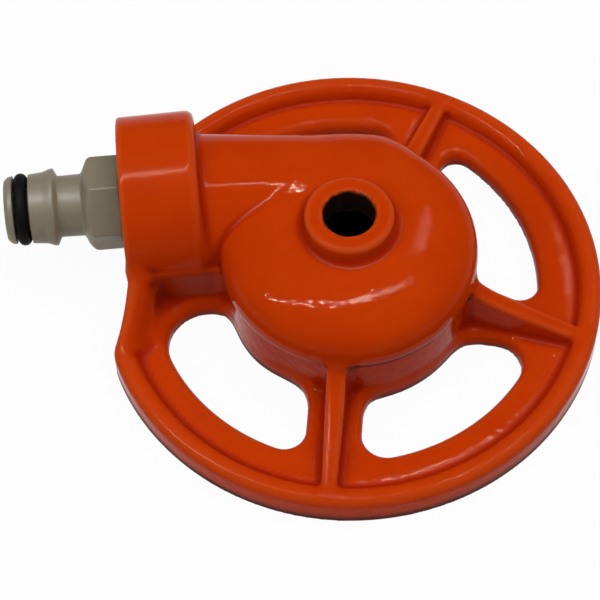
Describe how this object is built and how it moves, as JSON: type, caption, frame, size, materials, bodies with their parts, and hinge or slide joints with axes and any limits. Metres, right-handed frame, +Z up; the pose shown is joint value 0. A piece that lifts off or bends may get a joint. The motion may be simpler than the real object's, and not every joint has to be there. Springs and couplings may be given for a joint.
{
  "type": "lawn sprinkler",
  "caption": "Stationary whirl sprinkler: cast ring base with ribbed spokes, domed chamber with a hole on top, and a side inlet collar holding a quick hose connector",
  "frame": {"origin": "on the ground, at the middle of the box round the whole object, with Y = 0 through the hub", "axes": "+Z up, out of the nozzle hole; the hose leaves towards -X; +Y is the side the inlet is set off to"},
  "size_m": [0.1342, 0.115, 0.038],
  "materials": {
    "orange_enamel": "glossy enamel on a metal casting",
    "zinc_plated_steel": "zinc-plated pressed steel",
    "black_rubber": "matte",
    "grey_plastic": "satin moulded plastic"
  },
  "bodies": {
    "root": {"cast_body": "orange_enamel", "base_plug": "zinc_plated_steel", "inlet_washer": "black_rubber", "hose_connector": "grey_plastic", "nipple_o_ring": "black_rubber"}
  },
  "joints": []
}
